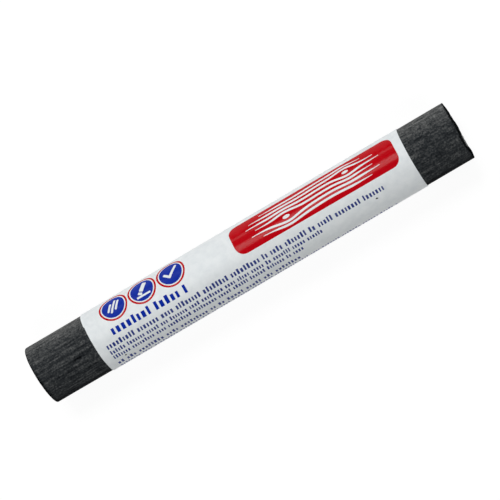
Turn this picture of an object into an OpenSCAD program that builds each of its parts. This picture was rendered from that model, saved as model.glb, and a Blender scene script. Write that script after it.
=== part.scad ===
// Furniture repair wax stick: a round stick of coloured filler wax in a wrapped paper label.
// The label is one sheet, wound once round the stick and glued to itself along an overlap,
// so it makes a sleeve that slides on the wax when more of the stick is wanted.
// X runs along the stick, Z is up, and the origin is under the middle of the stick,
// on the surface that it lies on. Angles round the stick start at its top and grow towards -Y.

/* [Wax stick] */
// Diameter of the wax
wax_d = 12.7; // [8:0.1:20]
// Length of the wax from end to end
wax_len = 97.5; // [90:0.5:140]
// Radius of the rounded rim at both ends
rim_r = 0.5; // [0.2:0.1:2]

/* [Paper label] */
// Length of the label along the stick
label_len = 73.4; // [40:0.1:76]
// Bare wax between the stick's left end and the label
bare_left = 13.3; // [2:0.1:13.5]
// Thickness of the label's paper
paper_t = 0.1; // [0.06:0.01:0.25]
// Play between the wax and the label, on the radius
slide_gap = 0.05; // [0.02:0.01:0.1]
// Angle of the sheet's inner edge, from the top of the stick round its back
seam_angle = -154; // [-160:1:-120]
// Width of the overlap at the seam, measured round the stick
overlap_w = 5; // [2:0.5:8]
// Width of the fold where the sheet steps up over its own inner edge
fold_w = 0.4; // [0.2:0.1:1]
// Gap between the fold and the sheet's inner edge, measured round the stick
edge_gap = 0.2; // [0.1:0.1:0.6]

/* [Seam glue] */
// Thickness of the glue film in the overlap
glue_t = 0.02; // [0.01:0.01:0.08]
// Distance that the glue stays back from the paper's edges
glue_margin = 0.4; // [0.1:0.1:0.9]

/* [Hidden] */
$fn = 180;

wax_r = wax_d / 2;
wax_colour = "#2e3031";
paper_colour = "#eef0f1";
glue_colour = "#d9cfae";

// The sheet's inner face on its first turn, its outer face there, and its inner face in the overlap
sheet_r = wax_r + slide_gap;
turn_r = sheet_r + paper_t;
flap_r = turn_r + glue_t;

// The stick lies on the first turn of its label
axis_h = turn_r;
label_left = bare_left - wax_len / 2;

// Angle that an arc of a given width takes up at a given radius
function arc_angle(width, radius) = width / radius * 180 / PI;
// Point on a circle about the stick's axis
function on_circle(radius, angle) = radius * [cos(angle), sin(angle)];

// The fold lies just before the inner edge, and the overlap runs on past that edge
fold_angle = arc_angle(fold_w, turn_r);
fold_end = seam_angle - arc_angle(edge_gap, turn_r);
fold_start = fold_end - fold_angle;
fold_middle = fold_end - fold_angle / 2;
flap_end = seam_angle + arc_angle(overlap_w, flap_r);

// Depth that the fold keeps inside the faces of the layers that it joins
fold_tuck = paper_t / 4;

// Length of a slice's straight sides, well outside the sheet
slice_r = 2 * flap_r;

// Lays a child that stands on Z along the stick's axis, with its foot at x
module along_stick(x) {
    translate([x, 0, axis_h]) rotate([0, 90, 0]) rotate([0, 0, 180]) children();
}

// Ring about the stick's axis, in cross-section: inner radius and wall
module ring(radius, wall) {
    difference() {
        circle(radius + wall);
        circle(radius);
    }
}

// Slice of the cross-section between two angles
module slice(from_angle, to_angle) {
    polygon([[0, 0], on_circle(slice_r, from_angle), on_circle(slice_r, to_angle)]);
}

// Half of the stick's lengthwise section, with round corners at the two rims
module wax_section() {
    square([wax_r - rim_r, wax_len]);
    translate([0, rim_r]) square([wax_r, wax_len - 2 * rim_r]);
    for (height = [rim_r, wax_len - rim_r])
        translate([wax_r - rim_r, height]) circle(rim_r);
}

// The filler wax, extruded and cut off square
module wax_stick() {
    color(wax_colour) along_stick(-wax_len / 2) rotate_extrude() wax_section();
}

// Cross-section of the sheet: a first turn, the fold over its own inner edge, and the overlap
module sheet_section() {
    fold_wall = flap_r + paper_t - sheet_r - 2 * fold_tuck;
    difference() {
        ring(sheet_r, paper_t);
        slice(fold_middle, seam_angle);
    }
    intersection() {
        ring(sheet_r + fold_tuck, fold_wall);
        slice(fold_start, fold_end);
    }
    intersection() {
        ring(flap_r, paper_t);
        slice(fold_middle, flap_end);
    }
}

// The printed sheet, wound round the stick
module paper_label() {
    color(paper_colour) along_stick(label_left) linear_extrude(label_len) sheet_section();
}

// The film of glue between the first turn and the overlap
module seam_glue() {
    margin_angle = arc_angle(glue_margin, turn_r);
    color(glue_colour) along_stick(label_left + glue_margin)
        linear_extrude(label_len - 2 * glue_margin)
            intersection() {
                ring(turn_r, glue_t);
                slice(seam_angle + margin_angle, flap_end - margin_angle);
            }
}

wax_stick();
paper_label();
seam_glue();
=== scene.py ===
import math
import random

import bpy
from mathutils import Matrix, Vector, noise


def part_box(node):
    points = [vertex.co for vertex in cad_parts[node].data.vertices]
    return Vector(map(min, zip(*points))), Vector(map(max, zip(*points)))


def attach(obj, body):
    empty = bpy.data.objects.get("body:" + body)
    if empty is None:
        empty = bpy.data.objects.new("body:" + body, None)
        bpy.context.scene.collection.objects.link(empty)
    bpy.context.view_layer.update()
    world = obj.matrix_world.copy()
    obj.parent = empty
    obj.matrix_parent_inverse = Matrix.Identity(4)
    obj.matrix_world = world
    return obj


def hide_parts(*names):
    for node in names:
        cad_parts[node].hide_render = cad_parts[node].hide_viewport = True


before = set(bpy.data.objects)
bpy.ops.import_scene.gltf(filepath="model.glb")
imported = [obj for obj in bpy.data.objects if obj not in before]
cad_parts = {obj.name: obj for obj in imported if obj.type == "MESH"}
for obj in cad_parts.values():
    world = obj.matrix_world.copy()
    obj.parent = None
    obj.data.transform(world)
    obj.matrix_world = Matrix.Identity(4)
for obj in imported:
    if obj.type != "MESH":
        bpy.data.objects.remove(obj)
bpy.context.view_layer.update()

# Filler wax stick
# A hard wax with dark pigment, pushed through a round die and cut off with a blade at both ends.
# The die leaves fine lines along it. Painted shade darkens its rims and underside, painted light pales its
# back, and its right cut is uneven.
MM = 0.001
wax_low, wax_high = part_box("wax_stick")
wax_len = wax_high.x - wax_low.x
wax_r = (wax_high.y - wax_low.y) / 2
axis_z = (wax_high.z + wax_low.z) / 2
wax_sides = 360
wax_rings = 150
left_rim = 0.45 * MM
left_rim_steps = 5
right_rim = 0.12 * MM
right_rim_steps = 2
right_end_rings = (0.24 * MM, 0.36 * MM, 0.48 * MM)
cap_rings = 19
cap_ring_width = 0.3 * MM
left_cut_band = 0.2 * MM
right_cut_band = 0.15 * MM
crease = math.radians(40)
tiny = 0.01 * MM


def pick(piece, kind, wanted):
    """Selects the edges or faces of a piece whose corners pass a test, and nothing else."""
    bpy.ops.object.mode_set(mode="EDIT")
    bpy.ops.mesh.select_mode(type=kind)
    bpy.ops.mesh.select_all(action="DESELECT")
    bpy.ops.object.mode_set(mode="OBJECT")
    mesh = piece.data
    for part in mesh.edges if kind == "EDGE" else mesh.polygons:
        part.select = wanted([mesh.vertices[corner].co for corner in part.vertices])
    bpy.ops.object.mode_set(mode="EDIT")


bpy.ops.object.select_all(action="DESELECT")
bpy.ops.mesh.primitive_cylinder_add(
    vertices=wax_sides,
    radius=wax_r,
    depth=wax_len,
    location=(0, 0, axis_z),
    rotation=(0, math.pi / 2, 0),
)
wax = bpy.context.object
wax.name = "extruded_wax"
bpy.ops.object.transform_apply(location=True, rotation=True, scale=True)

# The rims, the rings along the barrel and the rings of the two cut faces
pick(wax, "EDGE", lambda ends: all(end.x < wax_low.x + tiny for end in ends))
bpy.ops.mesh.bevel(offset=left_rim, segments=left_rim_steps)
pick(wax, "EDGE", lambda ends: all(end.x > wax_high.x - tiny for end in ends))
bpy.ops.mesh.bevel(offset=right_rim, segments=right_rim_steps)
pick(wax, "EDGE", lambda ends: abs(ends[0].x - ends[1].x) > wax_len / 2)
bpy.ops.mesh.subdivide(number_cuts=wax_rings)
for from_end in right_end_rings:
    bpy.ops.mesh.select_all(action="SELECT")
    bpy.ops.mesh.bisect(plane_co=(wax_high.x - from_end, 0, 0), plane_no=(1, 0, 0))
for end_x in (wax_low.x, wax_high.x):
    pick(wax, "FACE", lambda corners: all(abs(corner.x - end_x) < tiny for corner in corners))
    for ring in range(cap_rings):
        bpy.ops.mesh.inset(thickness=cap_ring_width)
    bpy.ops.mesh.poke()
bpy.ops.object.mode_set(mode="OBJECT")
cut_faces = [
    face.index
    for face in wax.data.polygons
    if not wax_low.x + left_cut_band < face.center.x < wax_high.x - right_cut_band
]

# The rims: what share of its bevel the left one has, less in front than behind, and how wide and how
# dark the painted shade along both is
left_rim_share = 0.65
left_rim_swing = 0.35
left_shade_width = 0.28 * MM
right_shade_width = 0.22 * MM
rim_shade_reach = (wax_r - 0.55 * MM, wax_r - 0.4 * MM)
rim_painted_shade = 1.5
rim_shade_even = 0.9

# The barrel: how its rings gather towards the bare ends, the die's lines and bands, how far they may
# stand out under the label, the painted light that pales its back, and the painted shade along its
# underside, which begins, is full, fades and ends at these angles from the top
ring_gather = 0.35
die_line_pitch = 0.4 * MM
die_line_depth = 0.02 * MM
die_band_pitch = 2.4 * MM
die_band_depth = 0.014 * MM
die_line_length = 12 * MM
die_band_seed = 9
barrel_edge = 0.6 * MM
most_push = 0.03 * MM
back_painted_light = 1.0
under_painted_shade = 0.8
under_shade_span = [math.radians(angle) for angle in (58, 70, 85, 125)]

# The cuts: how far each reaches along the stick, the blade's lines, and how far the left one is askew
left_cut_depth = 0.3 * MM
right_cut_depth = 0.5 * MM
left_cut_over = 0.07 * MM
left_cut_skew = 0.20 * MM
left_skew_length = 4 * MM
blade_line_pitch = 0.5 * MM
blade_line_depth = 0.03 * MM
blade_line_length = 8 * MM
right_blade_seed = 3

# The right cut across the stick: its swells, each with its middle, half width and height in mm, its dip at
# the back, its roughness, and the burr, which begins, is full, fades and ends at these places
cut_swells = ((1.2, 1.0, 0.10), (-5.0, 1.0, 0.08))
back_dip = 0.1 * MM
back_dip_span = (5 * MM, 6.2 * MM)
cut_rough = 0.05 * MM
cut_rough_pitch = 0.9 * MM
cut_rough_seed = 5
burr_span = [place * MM for place in (-4.6, -3.4, -1.3, -0.5)]
burr_start = 1 * MM
burr_dent = 0.3 * MM
burr_height = 0.24 * MM
burr_width = 0.65 * MM
burr_slope = 0.4 * MM
burr_ragged = 0.6 * MM
burr_ragged_pitch = 0.7 * MM
burr_ragged_share = 0.5
burr_seed = 7

# Marks of handling, in mm and degrees: place along the stick, angle from its top, half length,
# half width, depth, and tone, which is dark below nought and pale above it
mark_end = 3
wax_marks = (
    (-37.1, 50, 0.6, 0.50, 0.08, -0.9),
    (-39.4, 7, 1.2, 0.24, 0.06, -0.9),
    (-40.1, -27, 1.5, 0.20, 0.05, -0.8),
    (-43.1, 30, 0.3, 0.26, 0.05, -0.7),
    (-46.0, -50, 0.7, 0.50, 0.04, -0.5),
    (-44.0, 62, 1.0, 0.30, 0.05, -0.5),
    (-47.9, -10, 0.35, 0.45, 0.00, 0.55),
    (-47.6, 18, 0.25, 0.30, 0.00, 0.45),
    (-41.8, -60, 2.6, 0.16, 0.00, 0.35),
    (-45.0, 118, 0.9, 0.40, 0.07, -0.8),
    (-39.8, -130, 0.7, 0.35, 0.06, -0.8),
    (-43.0, 175, 1.4, 0.25, 0.05, -0.7),
    (-30.4, 24, 1.1, 0.22, 0.05, -0.7),
    (-28.2, -48, 0.8, 0.30, 0.05, -0.6),
    (46.8, -56, 0.6, 0.22, 0.06, -0.9),
    (44.0, 19, 0.35, 0.34, 0.06, -0.7),
    (44.3, 37, 0.30, 0.34, 0.06, -0.7),
    (41.4, -24, 1.3, 0.20, 0.05, -0.6),
    (39.6, 44, 0.7, 0.30, 0.05, -0.6),
    (48.1, -62, 0.45, 0.45, 0.00, 0.80),
    (46.1, -47, 0.45, 0.28, 0.00, 0.45),
    (45.0, -63, 0.80, 0.22, 0.00, 0.55),
    (42.8, -60, 0.90, 0.20, 0.00, 0.45),
    (38.5, 0, 0.22, 0.28, 0.00, 0.50),
    (47.7, 16, 0.28, 0.34, 0.00, 0.50),
    (47.5, 55, 0.60, 0.50, 0.00, 0.30),
    (47.4, -11, 0.80, 0.60, 0.00, 0.25),
    (44.0, 128, 0.8, 0.40, 0.07, -0.8),
    (41.0, -112, 1.2, 0.25, 0.05, -0.7),
    (46.0, 170, 0.6, 0.35, 0.06, -0.7),
    (30.8, -8, 1.2, 0.22, 0.05, -0.7),
    (27.5, 40, 0.7, 0.32, 0.05, -0.6),
)


def hump(value, middle, width):
    """A smooth hump: one in its middle, and next to nothing two widths away."""
    return math.exp(-(((value - middle) / width) ** 2))


def ramp(value, start, end):
    """Goes smoothly from nought at the start to one at the end."""
    share = min(max((value - start) / (end - start), 0), 1)
    return share * share * (3 - 2 * share)


def plateau(value, edges):
    """Goes from nought to one between the first two edges, and back between the last two."""
    return ramp(value, *edges[:2]) * (1 - ramp(value, *edges[2:]))


# Die lines, marks and blade lines are pressed into the mesh point by point, with its rings closer
# together towards the bare ends. What each place has been through, with the painted light of the back
# and the painted shade of the underside and rims, is kept as a tone for the material.
wax.data.attributes.new("wax_tone", "FLOAT", "POINT")
wax.data.attributes.new("burr_painted_highlight", "FLOAT", "POINT")
wax_tone = wax.data.attributes["wax_tone"]
burr_painted_highlight = wax.data.attributes["burr_painted_highlight"]
barrel_half = wax_len / 2 - left_rim
for index, vertex in enumerate(wax.data.vertices):
    share = vertex.co.x / barrel_half
    if abs(share) < 1:
        vertex.co.x *= 1 + ring_gather * (1 - share * share)
    x, y, z = vertex.co.x, vertex.co.y, vertex.co.z - axis_z
    turn = math.atan2(-y, z)
    reach = math.hypot(y, z)
    outward = Vector((0, -math.sin(turn), math.cos(turn)))
    girth = outward * wax_r
    if x < wax_low.x + left_rim + tiny and reach > wax_r - left_rim - tiny:
        kept = left_rim_share - left_rim_swing * math.sin(turn)
        x = wax_low.x + (x - wax_low.x) * kept
        reach = wax_r - (wax_r - reach) * kept
        vertex.co = Vector((x, 0, axis_z)) + outward * reach
    barrel = ramp(reach, wax_r - barrel_edge, wax_r)
    on_left = ramp(-x, -wax_low.x - left_cut_depth, -wax_low.x)
    on_right = ramp(x, wax_high.x - right_cut_depth, wax_high.x)

    fine = noise.noise(girth / die_line_pitch + Vector((x / die_line_length, 0, 0)))
    band = noise.noise(girth / die_band_pitch + Vector((x / die_line_length + die_band_seed, 0, 0)))
    push = (fine * die_line_depth + band * die_band_depth) * barrel
    # Painted shade along both rims, varied by the die's bands
    rims = hump(x, wax_low.x, left_shade_width) + hump(x, wax_high.x, right_shade_width)
    rims *= ramp(reach, *rim_shade_reach) * (rim_shade_even + band)
    # Painted light pales the back, painted shade darkens the underside
    tone = back_painted_light * max(-math.sin(turn), 0) ** 2 - under_painted_shade * plateau(turn, under_shade_span)
    tone = tone * barrel - rim_painted_shade * rims
    for mark_x, mark_turn, half_length, half_width, depth, mark_tone in wax_marks:
        off_x = abs(x - mark_x * MM)
        if off_x > mark_end * half_length * MM:
            continue
        off_turn = math.remainder(turn - math.radians(mark_turn), 2 * math.pi) * wax_r
        mark = hump(off_x, 0, half_length * MM) * hump(off_turn, 0, half_width * MM) * barrel
        push -= mark * depth * MM
        tone += mark * mark_tone

    # The blade came down on the stick: its lines run from top to foot of the cut faces. The left
    # cut is a little askew, and the right one uneven, with a thin burr along its lower rim whose top is
    # drawn near white as a painted highlight.
    blade = Vector((y / blade_line_pitch, z / blade_line_length, right_blade_seed if x > 0 else 0))
    drag = min(noise.noise(blade), 0) * blade_line_depth
    burr_place = plateau(y, burr_span)
    wave = cut_rough * noise.noise(Vector((y / cut_rough_pitch, cut_rough_seed, 0)))
    wave -= burr_dent * burr_place + back_dip * ramp(y, *back_dip_span)
    for middle, half_width, height in cut_swells:
        wave += height * MM * hump(y, middle * MM, half_width * MM)
    ragged = noise.noise(Vector((y / burr_ragged_pitch, 0, burr_seed)))
    burr_edge = wax_r - burr_width - burr_ragged * ragged
    burr = burr_place * ramp(-z, 0, burr_start) * ramp(reach, burr_edge - burr_slope, burr_edge)
    burr *= 1 + burr_ragged_share * ragged
    skew = left_cut_over + left_cut_skew * y / wax_r
    skew *= ramp(-x, -wax_low.x - left_skew_length, -wax_low.x)
    vertex.co.x += on_right * (wave + burr_height * burr + drag) - on_left * drag - skew
    vertex.co += outward * min(push, most_push)
    wax_tone.data[index].value = tone
    # The burr's share of the painted highlight on the cut
    burr_painted_highlight.data[index].value = min(burr * on_right, 1)

bpy.ops.object.shade_smooth_by_angle(angle=crease)


def linear(colour):
    """The linear colour that Blender works in, from an sRGB hex value."""
    channels = [int(colour[place : place + 2], 16) / 255 for place in (1, 3, 5)]
    return [c / 12.92 if c <= 0.04045 else ((c + 0.055) / 1.055) ** 2.4 for c in channels] + [1]


def add_node(tree, kind, inputs=None, **settings):
    """Adds a node with its settings, and gives each named input a value or a link."""
    node = tree.nodes.new("ShaderNode" + kind)
    for name, value in settings.items():
        setattr(node, name, value)
    for socket, value in (inputs or {}).items():
        if isinstance(value, bpy.types.NodeSocket):
            tree.links.new(value, node.inputs[socket])
        else:
            node.inputs[socket].default_value = value
    return node


def new_material(name):
    """A material with no nodes yet, and its node tree."""
    material = bpy.data.materials.new(name)
    material.use_nodes = True
    material.node_tree.nodes.clear()
    return material, material.node_tree


# Hard carnauba and paraffin wax with lamp black: dull, drawn into lines by the die, which break up
# into blotches towards the right end, with short smears along it and a dusty bloom, paled on its back by
# painted light, and near black where painted shade darkens its rims and underside. The bloom's grains,
# 0.2 mm, are drawn twice as coarse so that they show.
# The blackest stop is reached where painted shade darkens the rims and underside and at the darkest marks;
# the palest where painted light pales the back and at pale scuffs.
wax_black_marks_and_shade = "#060708"
wax_dark = "#16181b"
wax_middle = "#2e3133"
wax_light = "#575858"
wax_pale = "#7b7c7b"
smear_length = 2.6 * MM
smear_pitch = 0.5 * MM
blotch_size = 1.3 * MM
bloom_size = 0.4 * MM
line_weight = 1.2
bloom_weight = 1.7
tone_weight = 0.56
darkest_sum = 1.37
palest_sum = 2.8
lines_at_right = 0.5
wax_relief = 0.03 * MM
filler_wax, tree = new_material("extruded_filler_wax")
place = add_node(tree, "TexCoord").outputs["Object"]
along_die = add_node(
    tree,
    "Mapping",
    {"Vector": place, "Scale": (1 / die_line_length, 1 / die_line_pitch, 1 / die_line_pitch)},
).outputs["Vector"]
streak = add_node(
    tree, "TexNoise", {"Vector": along_die, "Scale": 1, "Detail": 2, "Roughness": 0.5}
).outputs["Fac"]
along_smear = add_node(
    tree,
    "Mapping",
    {"Vector": place, "Scale": (1 / smear_length, 1 / smear_pitch, 1 / smear_pitch)},
).outputs["Vector"]
smear = add_node(
    tree, "TexNoise", {"Vector": along_smear, "Scale": 1, "Detail": 4, "Roughness": 0.62}
).outputs["Fac"]
blotch = add_node(
    tree, "TexNoise", {"Vector": place, "Scale": 1 / blotch_size, "Detail": 3, "Roughness": 0.6}
).outputs["Fac"]
bloom = add_node(
    tree, "TexNoise", {"Vector": place, "Scale": 1 / bloom_size, "Detail": 3, "Roughness": 0.65}
).outputs["Fac"]
along_stick = add_node(tree, "SeparateXYZ", {"Vector": place}).outputs["X"]
drawn = add_node(
    tree,
    "MapRange",
    {
        "Value": along_stick,
        "From Min": wax_low.x,
        "From Max": wax_high.x,
        "To Min": 1,
        "To Max": lines_at_right,
    },
).outputs["Result"]
body = add_node(tree, "Mix", {0: drawn, 2: blotch, 3: streak}).outputs[0]
tone = add_node(tree, "Attribute", attribute_name="wax_tone").outputs["Fac"]
lines = add_node(
    tree, "Math", {0: body, 1: line_weight, 2: smear}, operation="MULTIPLY_ADD"
).outputs["Value"]
grains = add_node(
    tree, "Math", {0: bloom, 1: bloom_weight, 2: lines}, operation="MULTIPLY_ADD"
).outputs["Value"]
tone_and_grains = add_node(
    tree, "Math", {0: tone, 1: tone_weight, 2: grains}, operation="MULTIPLY_ADD"
).outputs["Value"]
grey = add_node(
    tree, "MapRange", {"Value": tone_and_grains, "From Min": darkest_sum, "From Max": palest_sum}
).outputs["Result"]
shades = add_node(tree, "ValToRGB", {"Fac": grey})
shades.color_ramp.elements[0].color = linear(wax_black_marks_and_shade)
shades.color_ramp.elements[1].color = linear(wax_pale)
for stop, colour in ((0.1, wax_dark), (0.4, wax_middle), (0.75, wax_light)):
    shades.color_ramp.elements.new(stop).color = linear(colour)
shine = add_node(
    tree, "MapRange", {"Value": lines, "From Min": 0.8, "From Max": 1.45, "To Min": 0.8, "To Max": 0.6}
).outputs["Result"]
wax_bump = add_node(
    tree, "Bump", {"Height": grains, "Distance": wax_relief, "Strength": 0.8}
).outputs["Normal"]
wax_skin = add_node(
    tree,
    "BsdfPrincipled",
    {
        "Base Color": shades.outputs["Color"],
        "Roughness": shine,
        "IOR": 1.44,
        "Specular IOR Level": 0.0,
        "Sheen Weight": 0.15,
        "Sheen Roughness": 0.4,
        "Normal": wax_bump,
    },
)
add_node(tree, "OutputMaterial", {"Surface": wax_skin.outputs["BSDF"]})
wax.data.materials.append(filler_wax)

# The same wax where the blade went through it: fresh, so darker and with no bloom, torn into fine
# crumbs that leave it no gloss, darker still under the rims' painted shade, and near white along the
# burr, which is a painted highlight.
cut_dark = "#0a0b0c"
cut_light = "#45484a"
burr_glint_colour = "#e2e4e2"
crumb_size = 0.35 * MM
crumb_relief = 0.05 * MM
cut_tone_weight = 0.6
cut_wax, tree = new_material("blade_cut_filler_wax")
place = add_node(tree, "TexCoord").outputs["Object"]
crumble = add_node(
    tree, "TexNoise", {"Vector": place, "Scale": 1 / crumb_size, "Detail": 4, "Roughness": 0.65}
).outputs["Fac"]
along_blade = add_node(
    tree, "Mapping", {"Vector": place, "Scale": (0, 1 / blade_line_pitch, 1 / blade_line_length)}
).outputs["Vector"]
drawn = add_node(
    tree, "TexNoise", {"Vector": along_blade, "Scale": 1, "Detail": 3, "Roughness": 0.6}
).outputs["Fac"]
# The tone brings the rims' painted shade on to the cut faces.
tone = add_node(tree, "Attribute", attribute_name="wax_tone").outputs["Fac"]
torn_and_rim_shade = add_node(
    tree, "Math", {0: tone, 1: cut_tone_weight, 2: crumble}, operation="MULTIPLY_ADD"
).outputs["Value"]
dragged_and_shaded = add_node(tree, "Math", {0: drawn, 1: torn_and_rim_shade}, operation="ADD").outputs["Value"]
cut_lightness = add_node(
    tree, "MapRange", {"Value": dragged_and_shaded, "From Min": 0.8, "From Max": 1.35}
).outputs["Result"]
cut_colour = add_node(
    tree, "Mix", {0: cut_lightness, 6: linear(cut_dark), 7: linear(cut_light)}, data_type="RGBA"
).outputs[2]
# The painted highlight along the burr
burr_glint = add_node(tree, "Attribute", attribute_name="burr_painted_highlight").outputs["Fac"]
glinting_cut = add_node(tree, "Mix", {0: burr_glint, 6: cut_colour, 7: linear(burr_glint_colour)}, data_type="RGBA").outputs[2]
cut_bump = add_node(
    tree, "Bump", {"Height": crumble, "Distance": crumb_relief, "Strength": 0.8}
).outputs["Normal"]
cut_skin = add_node(
    tree,
    "BsdfPrincipled",
    {"Base Color": glinting_cut, "Roughness": 0.9, "IOR": 1.44, "Specular IOR Level": 0.0, "Normal": cut_bump},
)
add_node(tree, "OutputMaterial", {"Surface": cut_skin.outputs["BSDF"]})
wax.data.materials.append(cut_wax)
for index in cut_faces:
    wax.data.polygons[index].material_index = 1
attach(wax, "stick")
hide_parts("wax_stick")

# Paper label
# One sheet of coated paper, printed flat, cut, and wound once round the stick from behind.
# Its last few millimetres lie over its first and hold the sheet shut as a sleeve.
label_low, label_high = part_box("paper_label")
paper_t = 0.1 * MM
glue_t = 0.02 * MM
sheet_r = axis_z - label_low.z - paper_t / 2
sheet_start = math.radians(-154)
sheet_end = math.radians(250)
fold_from = math.radians(198.5)
fold_to = math.radians(205.5)
sheet_wave = 0.012 * MM
sheet_wave_length = 11 * MM
sheet_columns = 110
sheet_rows = 202

# The two cut edges: how far they are askew and wander, and the left one's nick, which begins, is full,
# fades and ends at these angles
left_askew = 0.10 * MM
right_askew = 0.22 * MM
right_askew_turn = math.radians(80)
cut_wander = 0.05 * MM
cut_wander_rate = 1.7
left_wander_seed = 4
right_wander_seed = 8
nick_depth = 0.14 * MM
nick_span = [math.radians(angle) for angle in (-110, -60, -39, -36)]

# The sheet's outer edge, which stands off the layer under it, most of all at its two corners
free_turn = 0.22
edge_lift = 0.02 * MM
corner_lift = 0.16 * MM
left_curl = 5 * MM
right_curl = 4 * MM
right_curl_share = 0.7


def on_label(x, turn, lift=0):
    """The place on the wound sheet: along the stick, round it, and out from the middle of the paper."""
    outward = Vector((0, -math.sin(turn), math.cos(turn)))
    spot = Vector((x, 0, 0)) + outward * sheet_r
    radius = sheet_r + (paper_t + glue_t) * ramp(turn, fold_from, fold_to)
    radius += sheet_wave * noise.noise(spot / sheet_wave_length) + lift
    return Vector((x, 0, axis_z)) + outward * radius


bpy.ops.object.select_all(action="DESELECT")
bpy.ops.mesh.primitive_grid_add(x_subdivisions=sheet_columns, y_subdivisions=sheet_rows, size=1)
label = bpy.context.object
label.name = "wound_label"
for vertex in label.data.vertices:
    turn = sheet_end + (sheet_start - sheet_end) * (vertex.co.y + 0.5)
    left = label_low.x + left_askew * turn / math.pi - nick_depth * plateau(turn, nick_span)
    right = label_high.x + right_askew * ramp(-turn, 0, right_askew_turn)
    left += cut_wander * noise.noise(Vector((turn * cut_wander_rate, 0, left_wander_seed)))
    right += cut_wander * noise.noise(Vector((turn * cut_wander_rate, 0, right_wander_seed)))
    x = left + (right - left) * (vertex.co.x + 0.5)
    free = ramp(turn, sheet_end - free_turn, sheet_end) ** 2
    corner = max(hump(x, left, left_curl), right_curl_share * hump(x, right, right_curl))
    vertex.co = on_label(x, turn, free * (edge_lift + corner_lift * corner))
thickness = label.modifiers.new("paper", "SOLIDIFY")
thickness.thickness = paper_t
thickness.offset = 0
bpy.ops.object.modifier_apply(modifier="paper")
bpy.ops.object.shade_smooth_by_angle(angle=crease)

# Paper with a thin clay coating, calendered: white, smooth, half gloss, faintly mottled by the
# fibres under the coating and greyed in places by waxy fingers.
paper_white = "#e9edee"
paper_mottle = "#dfe4e6"
paper_smudge = "#c3c8cb"
mottle_size = 1.6 * MM
smudge_size = 9 * MM
grain_size = 0.45 * MM
paper_relief = 0.008 * MM
coated_paper, tree = new_material("coated_label_paper")
place = add_node(tree, "TexCoord").outputs["Object"]
mottle = add_node(
    tree, "TexNoise", {"Vector": place, "Scale": 1 / mottle_size, "Detail": 5, "Roughness": 0.6}
).outputs["Fac"]
mottled = add_node(
    tree, "MapRange", {"Value": mottle, "From Min": 0.35, "From Max": 0.7}
).outputs["Result"]
smudge = add_node(
    tree, "TexNoise", {"Vector": place, "Scale": 1 / smudge_size, "Detail": 6, "Roughness": 0.66}
).outputs["Fac"]
smudged = add_node(
    tree, "MapRange", {"Value": smudge, "From Min": 0.52, "From Max": 0.85, "To Max": 0.5}
).outputs["Result"]
clean = add_node(
    tree, "Mix", {0: mottled, 6: linear(paper_white), 7: linear(paper_mottle)}, data_type="RGBA"
).outputs[2]
handled = add_node(
    tree, "Mix", {0: smudged, 6: clean, 7: linear(paper_smudge)}, data_type="RGBA"
).outputs[2]
grain = add_node(
    tree, "TexNoise", {"Vector": place, "Scale": 1 / grain_size, "Detail": 4, "Roughness": 0.6}
).outputs["Fac"]
paper_shine = add_node(
    tree, "MapRange", {"Value": grain, "From Min": 0.3, "From Max": 0.7, "To Min": 0.34, "To Max": 0.46}
).outputs["Result"]
paper_bump = add_node(
    tree, "Bump", {"Height": grain, "Distance": paper_relief, "Strength": 0.6}
).outputs["Normal"]
paper_skin = add_node(
    tree,
    "BsdfPrincipled",
    {
        "Base Color": handled,
        "Roughness": paper_shine,
        "IOR": 1.47,
        "Specular IOR Level": 0.12,
        "Normal": paper_bump,
    },
)
add_node(tree, "OutputMaterial", {"Surface": paper_skin.outputs["BSDF"]})
label.data.materials.append(coated_paper)
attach(label, "sleeve")
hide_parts("paper_label")

# Red print
# The first ink on the sheet: a panel with round corners, and a ring round each of three badges.
# Offset ink with a gloss varnish, laid on the flat sheet before it is cut.
ink_t = 0.012 * MM
ink_sink = 0.002 * MM
ink_relief = 0.004 * MM
shine_spread = 0.05
red_full = "#b90311"
red_thin = "#bf0f1c"
red_roughness = 0.15
cut_step_round = 0.3 * MM
cut_step_along = 2 * MM
print_askew = -0.0046
panel_left = -1.2 * MM
panel_right = 36.2 * MM
panel_top = math.radians(65.5) * sheet_r
panel_foot = math.radians(1.8) * sheet_r
panel_corner = 2 * MM
corner_steps = 6
panel_middle = Vector(((panel_left + panel_right) / 2, (panel_top + panel_foot) / 2, 0))
badge_places = [Vector((x * MM, math.radians(44.5) * sheet_r, 0)) for x in (-28.4, -21.7, -15.0)]
badge_r = 2.55 * MM
badge_ring_r = 3.2 * MM
badge_ring_width = 0.4 * MM
disc_sides = 48


def start_print(name):
    """An empty flat mesh for shapes of print: x along the label, y from the stick's top to its back."""
    bpy.ops.object.select_all(action="DESELECT")
    bpy.ops.mesh.primitive_plane_add(size=MM)
    bpy.context.object.name = name
    bpy.ops.object.mode_set(mode="EDIT")
    bpy.ops.mesh.delete(type="VERT")
    bpy.ops.mesh.select_mode(type="VERT")
    return bpy.context.object


def print_bar(middle, width, height, corner, tilt=0):
    """Adds a bar with round corners to the flat mesh, turned up to the left by its tilt."""
    bpy.ops.mesh.select_all(action="DESELECT")
    bpy.ops.mesh.primitive_plane_add(size=1, location=middle)
    bpy.ops.transform.resize(value=(width, height, 1), center_override=middle)
    bpy.ops.mesh.bevel(affect="VERTICES", offset=corner, segments=corner_steps)
    if tilt:
        bpy.ops.transform.rotate(value=-tilt, orient_axis="Z", center_override=middle)


def print_disc(middle, radius, ring_width=0):
    """Adds a disc to the flat mesh, or only the ring along its edge."""
    bpy.ops.mesh.select_all(action="DESELECT")
    bpy.ops.mesh.primitive_circle_add(
        vertices=disc_sides, radius=radius, fill_type="NGON", location=middle
    )
    if ring_width:
        bpy.ops.mesh.inset(thickness=ring_width)
        bpy.ops.mesh.delete(type="FACE")


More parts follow.
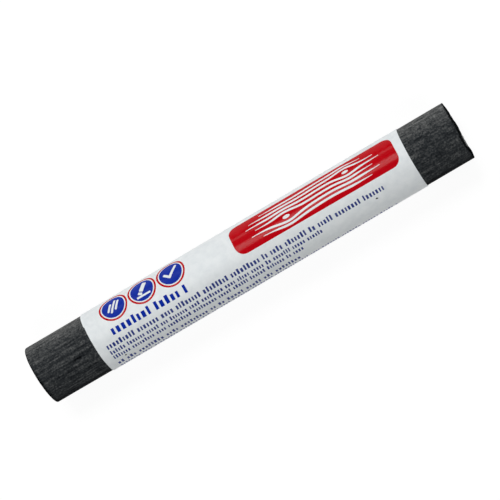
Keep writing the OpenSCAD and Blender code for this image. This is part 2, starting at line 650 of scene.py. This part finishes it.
def finish_print(piece, lift, material):
    """Cuts the flat shapes into strips, winds them on to the sheet and gives them a film's thickness."""
    bpy.ops.object.mode_set(mode="OBJECT")
    spread = [vertex.co.copy() for vertex in piece.data.vertices]
    bpy.ops.object.mode_set(mode="EDIT")
    for axis, step in ((0, cut_step_along), (1, cut_step_round)):
        first = math.ceil(min(spot[axis] for spot in spread) / step)
        last = math.floor(max(spot[axis] for spot in spread) / step)
        across = Vector((1 - axis, axis, 0))
        for cut in range(first, last + 1):
            bpy.ops.mesh.select_all(action="SELECT")
            bpy.ops.mesh.bisect(plane_co=across * cut * step, plane_no=across)
    bpy.ops.object.mode_set(mode="OBJECT")
    for vertex in piece.data.vertices:
        height = vertex.co.y + vertex.co.x * print_askew
        vertex.co = on_label(vertex.co.x, -height / sheet_r, lift)
    film = piece.modifiers.new("ink", "SOLIDIFY")
    film.thickness = ink_t
    film.offset = 1
    bpy.ops.object.modifier_apply(modifier="ink")
    bpy.ops.object.shade_smooth_by_angle(angle=crease)
    piece.data.materials.append(material)
    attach(piece, "sleeve")


def varnished_ink(name, colour, thin_colour, roughness):
    """Offset ink under varnish: a full colour, thinner in patches over the paper's mottle, and glossy."""
    material, tree = new_material(name)
    place = add_node(tree, "TexCoord").outputs["Object"]
    cover = add_node(
        tree, "TexNoise", {"Vector": place, "Scale": 1 / mottle_size, "Detail": 5, "Roughness": 0.65}
    ).outputs["Fac"]
    thin = add_node(
        tree, "MapRange", {"Value": cover, "From Min": 0.45, "From Max": 0.8}
    ).outputs["Result"]
    ink = add_node(
        tree, "Mix", {0: thin, 6: linear(colour), 7: linear(thin_colour)}, data_type="RGBA"
    ).outputs[2]
    grain = add_node(
        tree, "TexNoise", {"Vector": place, "Scale": 1 / grain_size, "Detail": 3, "Roughness": 0.6}
    ).outputs["Fac"]
    shine = add_node(
        tree,
        "MapRange",
        {"Value": grain, "To Min": roughness - shine_spread, "To Max": roughness + shine_spread},
    ).outputs["Result"]
    bump = add_node(
        tree, "Bump", {"Height": grain, "Distance": ink_relief, "Strength": 0.5}
    ).outputs["Normal"]
    skin = add_node(
        tree,
        "BsdfPrincipled",
        {"Base Color": ink, "Roughness": shine, "IOR": 1.5, "Specular IOR Level": 0.085, "Normal": bump},
    )
    add_node(tree, "OutputMaterial", {"Surface": skin.outputs["BSDF"]})
    return material


red_ink = varnished_ink("varnished_red_ink", red_full, red_thin, red_roughness)
red_print = start_print("red_print")
print_bar(panel_middle, panel_right - panel_left, panel_top - panel_foot, panel_corner)
for badge in badge_places:
    print_disc(badge, badge_ring_r, badge_ring_width)
finish_print(red_print, paper_t / 2 - ink_sink, red_ink)

# Blue print
# The second ink: three round badges, one for each step of a repair, and a row of plain blocks
# under them for a heading. The same offset ink and varnish as the red.
blue_full = "#0a2a9c"
blue_thin = "#1736a2"
blue_roughness = 0.24
heading_turn = math.radians(-1.4)
heading_start = -30.9
heading_end = -12.9
heading_height = 1.35
block_corner = 0.05 * MM
tall_chance = 0.3


def block_row(draw, start, end, height, tall, letters, widths, gap, space):
    """A row of blocks in groups as long as words: the left side, right side and height of each, in mm."""
    row = []
    left, letters_left = start, draw.randint(*letters)
    while left < end - height / 2:
        right = min(left + draw.uniform(*widths) * height, end)
        row.append((left, right, height * (tall if draw.random() < tall_chance else 1)))
        letters_left -= 1
        left = right + height * (gap if letters_left else space)
        letters_left = letters_left or draw.randint(*letters)
    return row


blue_ink = varnished_ink("varnished_blue_ink", blue_full, blue_thin, blue_roughness)
blue_print = start_print("blue_print")
for badge in badge_places:
    print_disc(badge, badge_r)
heading = block_row(
    random.Random(5),
    heading_start,
    heading_end,
    heading_height,
    tall=1.3,
    letters=(4, 8),
    widths=(0.4, 0.62),
    gap=0.36,
    space=0.9,
)
heading_foot = -heading_turn * sheet_r - heading_height / 2 * MM
for left, right, top in heading:
    middle = Vector(((left + right) / 2 * MM, heading_foot + top / 2 * MM, 0))
    print_bar(middle, (right - left) * MM, top * MM, block_corner)
finish_print(blue_print, paper_t / 2 - ink_sink, blue_ink)

# Open marks
# What the two inks leave open, so that the white of the paper shows: a wood grain in the panel,
# and in the badges a scratch, a stick on a board and a tick.

# Lines of the grain, in mm: how far each is from the panel's middle, and how far it reaches both ways.
# Each starts as a grid of its own, apart from the others, and so does each row of the small print.
grain_lines = (-2.4, -1.45, -0.5, 0.5, 1.45, 2.4)
grain_reach = (12.4, 14.6, 13.4, 15.2, 14.2, 11.6)
grain_width = 0.44 * MM
grain_tip_share = 0.3
grain_taper = 5
grain_steps = 96
rows_apart = 2
sway_height = 0.13
sway_rate = 0.36
sway_start = 0.4

# Knots in the grain, in mm from the panel's middle: place along it and up it, half length and height
knots = ((-6.6, -0.97, 2.9, 0.56), (7.8, 0.97, 2.4, 0.5))
knot_swell = 0.3
knot_reach = 1.7
eye_share = 0.62
eye_stretch = 2.3

# Bars in each badge, in mm and degrees: place from its middle, width, height, corner and tilt
badge_bars = (
    (
        (-0.85, 0, 0.46, 2.1, 0.2, -28),
        (0, 0, 0.46, 3.2, 0.2, -28),
        (0.85, 0, 0.46, 2.4, 0.2, -28),
    ),
    (
        (0, -1.45, 3.1, 0.44, 0.15, 0),
        (0.36, 0.62, 0.95, 2.3, 0.2, -34),
        (-0.58, -0.76, 0.95, 0.62, 0.2, -34),
    ),
    (
        (-0.93, -0.33, 0.56, 1.7, 0.15, 45),
        (0.48, 0.16, 0.56, 3.2, 0.15, -42),
    ),
)


def sway(x):
    """How far the whole grain sways up at a place along the panel, in mm."""
    return sway_height * math.sin(x * sway_rate + sway_start)


open_print = start_print("open_print")
for number in range(len(grain_lines)):
    bpy.ops.mesh.select_all(action="DESELECT")
    bpy.ops.mesh.primitive_grid_add(
        x_subdivisions=grain_steps, y_subdivisions=1, size=1, location=(0, rows_apart * number, 0)
    )
bpy.ops.object.mode_set(mode="OBJECT")
for vertex in open_print.data.vertices:
    number = round(vertex.co.y / rows_apart)
    line, reach = grain_lines[number], grain_reach[number]
    x = 2 * vertex.co.x * reach
    y = line + sway(x)
    for knot_x, knot_y, knot_length, knot_height in knots:
        off = line - knot_y
        bulge = hump(x, knot_x, knot_length) * math.exp(knot_swell - abs(off) / knot_reach)
        y += math.copysign(knot_height, off) * bulge
    width = grain_width * (grain_tip_share + (1 - grain_tip_share) * ramp(reach - abs(x), 0, grain_taper))
    vertex.co = panel_middle + Vector((x * MM, y * MM + (vertex.co.y - rows_apart * number) * width, 0))
bpy.ops.object.mode_set(mode="EDIT")
for knot_x, knot_y, knot_length, knot_height in knots:
    eye = panel_middle + MM * Vector((knot_x, knot_y + sway(knot_x), 0))
    print_disc(eye, eye_share * knot_height * MM)
    bpy.ops.transform.resize(value=(eye_stretch, 1, 1), center_override=eye)
for badge, bars in zip(badge_places, badge_bars):
    for x, y, width, height, corner, tilt in bars:
        middle = badge + MM * Vector((x, y, 0))
        print_bar(middle, width * MM, height * MM, corner * MM, math.radians(tilt))
finish_print(open_print, paper_t / 2 + ink_t - 2 * ink_sink, coated_paper)

# Navy print
# The third ink, for the small print: rows of plain blocks in groups as long as words, round the
# front and on to the underside of the sheet. A thin dark ink with a duller varnish.

# Angle of a row from the stick's top, where it starts and ends in mm, and the height of its blocks
small_rows = (
    (19.0, -33.4, 31.4, 0.88),
    (32.0, -33.4, 16.0, 0.72),
    (43.5, -33.4, 11.0, 0.72),
    (63.0, -33.4, 9.1, 0.88),
    (77.5, -33.4, 31.0, 0.72),
    (89.0, -33.4, 27.5, 0.72),
    (100.5, -33.4, 30.0, 0.72),
    (112.0, -33.4, 4.5, 0.72),
    (131.5, -33.4, 29.0, 0.88),
    (144.0, -33.4, 22.0, 0.72),
    (155.5, -33.4, 30.5, 0.72),
    (167.0, -33.4, 12.0, 0.72),
)
navy_full = "#2a397e"
navy_thin = "#3b4a8c"
navy_roughness = 0.36
draw = random.Random(12)
navy_ink = varnished_ink("navy_small_print_ink", navy_full, navy_thin, navy_roughness)
navy_print = start_print("navy_print")
blocks = []
for number, (row_turn, row_start, row_end, height) in enumerate(small_rows):
    row = block_row(
        draw,
        row_start,
        row_end,
        height,
        tall=1.32,
        letters=(2, 9),
        widths=(0.34, 0.56),
        gap=0.37,
        space=0.95,
    )
    blocks.append(row)
    bpy.ops.mesh.select_all(action="DESELECT")
    bpy.ops.mesh.primitive_grid_add(
        x_subdivisions=2 * len(row) - 1, y_subdivisions=1, size=1, location=(0, rows_apart * number, 0)
    )


def is_gap(corners):
    """Whether a cell of a row is the gap after a block, by its place in the row."""
    cells = 2 * len(blocks[round(corners[0].y / rows_apart)]) - 1
    left_side = min(corner.x for corner in corners)
    return round((left_side + 0.5) * cells) % 2 == 1


pick(navy_print, "FACE", is_gap)
bpy.ops.mesh.delete(type="FACE")
bpy.ops.object.mode_set(mode="OBJECT")
for vertex in navy_print.data.vertices:
    number = round(vertex.co.y / rows_apart)
    row_turn, row_start, row_end, height = small_rows[number]
    column = round((vertex.co.x + 0.5) * (2 * len(blocks[number]) - 1))
    left, right, top = blocks[number][column // 2]
    foot = -math.radians(row_turn) * sheet_r - height / 2 * MM
    vertex.co.x = (right if column % 2 else left) * MM
    vertex.co.y = foot + (top * MM if vertex.co.y > rows_apart * number else 0)
finish_print(navy_print, paper_t / 2 - ink_sink, navy_ink)

# Seam glue
# A thin film of starch paste between the sheet's two layers, rolled on before the sheet is closed.
# It keeps the shape that the frame gives it.

# Starch paste, dried: a dull yellow film, browner where it dried thick, with a slight shine.
paste_yellow = "#d9cfae"
paste_brown = "#bfae82"
paste_patch = 2.5 * MM
dry_paste, tree = new_material("dried_starch_paste")
place = add_node(tree, "TexCoord").outputs["Object"]
drying = add_node(
    tree, "TexNoise", {"Vector": place, "Scale": 1 / paste_patch, "Detail": 4, "Roughness": 0.6}
).outputs["Fac"]
paste = add_node(
    tree, "Mix", {0: drying, 6: linear(paste_yellow), 7: linear(paste_brown)}, data_type="RGBA"
).outputs[2]
paste_shine = add_node(
    tree, "MapRange", {"Value": drying, "To Min": 0.3, "To Max": 0.5}
).outputs["Result"]
paste_skin = add_node(
    tree, "BsdfPrincipled", {"Base Color": paste, "Roughness": paste_shine, "IOR": 1.5}
)
add_node(tree, "OutputMaterial", {"Surface": paste_skin.outputs["BSDF"]})
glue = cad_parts["seam_glue"]
glue.data.materials.clear()
glue.data.materials.append(dry_paste)

# Wax crumbs
# Specks of wax that were rubbed off and pressed on to the paper by fingers.
# Each is a flat flake about half a millimetre long, stuck to the outside of the label.
crumb_places = ((-31.1, 50, 0.22), (28.2, 32, 0.26), (14.5, 165, 0.24))
crumb_t = 0.05 * MM
crumb_narrow = 0.7
crumb_lump = 0.45
crumb_lump_rate = 1.3
crumb_apart = 4
crumb_sides = 14
crumb_bands = 8
crumb_crease = math.radians(60)
bpy.ops.object.select_all(action="DESELECT")
bpy.ops.mesh.primitive_uv_sphere_add(segments=crumb_sides, ring_count=crumb_bands, radius=1)
crumbs = bpy.context.object
crumbs.name = "wax_crumbs"
bpy.ops.object.mode_set(mode="EDIT")
for number in range(1, len(crumb_places)):
    spot = (crumb_apart * number, 0, 0)
    bpy.ops.mesh.select_all(action="DESELECT")
    bpy.ops.mesh.primitive_uv_sphere_add(
        segments=crumb_sides, ring_count=crumb_bands, radius=1, location=spot
    )
bpy.ops.object.mode_set(mode="OBJECT")
for vertex in crumbs.data.vertices:
    number = round(vertex.co.x / crumb_apart)
    crumb_x, crumb_turn, crumb_r = crumb_places[number]
    swell = 1 + crumb_lump * noise.noise(vertex.co * crumb_lump_rate)
    lump = (vertex.co - Vector((crumb_apart * number, 0, 0))) * swell
    turn = math.radians(crumb_turn) + lump.y * crumb_narrow * crumb_r * MM / sheet_r
    vertex.co = on_label((crumb_x + lump.x * crumb_r) * MM, turn, paper_t / 2 + lump.z * crumb_t)
bpy.ops.object.mode_set(mode="EDIT")
bpy.ops.mesh.select_all(action="SELECT")
bpy.ops.mesh.normals_make_consistent(inside=False)
bpy.ops.object.mode_set(mode="OBJECT")
bpy.ops.object.shade_smooth_by_angle(angle=crumb_crease)
crumbs.data.materials.append(filler_wax)
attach(crumbs, "sleeve")

# Studio floor
# A wide sheet of card that the stick lies on, grey to the lamps so that it throws little light back.
# It glows white to the camera and in the gloss, and still takes the stick's shadow.
card_grey = "#6a6a6a"
card_glow = 0.91
card_size = 20
card_gap = 0.02 * MM
bpy.ops.object.select_all(action="DESELECT")
bpy.ops.mesh.primitive_plane_add(size=card_size, location=(0, 0, label_low.z - card_gap))
floor = bpy.context.object
floor.name = "studio_floor"
card, tree = new_material("matt_card")
ray = add_node(tree, "LightPath")
seen = add_node(
    tree, "Math", {0: ray.outputs["Is Camera Ray"], 1: ray.outputs["Is Glossy Ray"]}, operation="MAXIMUM"
).outputs["Value"]
seen = add_node(
    tree, "Math", {0: seen, 1: ray.outputs["Is Transmission Ray"]}, operation="MAXIMUM"
).outputs["Value"]
whiteness = add_node(tree, "Math", {0: seen, 1: card_glow}, operation="MULTIPLY").outputs["Value"]
card_skin = add_node(
    tree,
    "BsdfPrincipled",
    {
        "Base Color": linear(card_grey),
        "Roughness": 0.9,
        "Specular IOR Level": 0.0,
        "Emission Color": (1, 1, 1, 1),
        "Emission Strength": whiteness,
    },
)
add_node(tree, "OutputMaterial", {"Surface": card_skin.outputs["BSDF"]})
floor.data.materials.append(card)

# Studio light
# Two small softboxes behind the stick draw the two bands of light along the varnish. Two broad ones,
# behind and in front, fill in without being mirrored, and a little light comes from all round.

# Lean towards the back in degrees, distance, width and height in m, brightness, and whether mirrored
softboxes = (
    ("key_softbox", 34.5, 0.7, 0.36, 0.24, 6.4, True),
    ("back_softbox", 72, 0.8, 2.4, 0.45, 1.3, False),
    ("front_softbox", -49, 0.9, 1.6, 0.8, 1.19, False),
    ("low_strip", 72.6, 0.7, 0.36, 0.11, 2.9, True),
)
# Watts to the square metre that make a lamp's face as bright as white
white_power = 4
room_light = 0.05
room_colour = (0.97, 0.99, 1, 1)
for name, lean, distance, width, height, brightness, mirrored in softboxes:
    lamp = bpy.data.lights.new(name, "AREA")
    lamp.shape = "RECTANGLE"
    lamp.size = width
    lamp.size_y = height
    lamp.energy = white_power * brightness * width * height
    lamp_object = bpy.data.objects.new(name, lamp)
    bpy.context.scene.collection.objects.link(lamp_object)
    lean = math.radians(lean)
    lamp_object.location = (0, distance * math.sin(lean), axis_z + distance * math.cos(lean))
    lamp_object.rotation_euler = (-lean, 0, 0)
    lamp_object.visible_camera = False
    lamp_object.visible_glossy = mirrored
world = bpy.data.worlds.new("studio_room")
bpy.context.scene.world = world
world.use_nodes = True
world.node_tree.nodes["Background"].inputs["Color"].default_value = room_colour
world.node_tree.nodes["Background"].inputs["Strength"].default_value = room_light

# Camera
# Almost overhead and a little to the right of the stick, far enough for a long lens.
# It is turned so that the stick rises to the right across the picture.
camera_distance = 0.62
camera_tilt = math.radians(6.2)
camera_roll = math.radians(30.47)
camera_field = math.radians(9.243)
picture_drop = 0.746 * MM
picture_left = 0.309 * MM
sensor_width = 36
to_camera = Vector((math.sin(camera_tilt), 0, math.cos(camera_tilt)))
stick_way = Vector((math.cos(camera_tilt), 0, -math.sin(camera_tilt)))
side_way = Vector((0, 1, 0))
picture_right = stick_way * math.cos(camera_roll) - side_way * math.sin(camera_roll)
picture_up = stick_way * math.sin(camera_roll) + side_way * math.cos(camera_roll)
camera_data = bpy.data.cameras.new("studio_camera")
camera_data.sensor_width = sensor_width
camera_data.lens = sensor_width / 2 / math.tan(camera_field / 2)
camera = bpy.data.objects.new("studio_camera", camera_data)
bpy.context.scene.collection.objects.link(camera)
camera.matrix_world = Matrix((picture_right, picture_up, to_camera)).transposed().to_4x4()
camera.location = Vector((0, 0, axis_z)) + to_camera * camera_distance
camera.location += picture_up * picture_drop + picture_right * picture_left
bpy.context.scene.camera = camera
bpy.context.scene.view_settings.view_transform = "Standard"
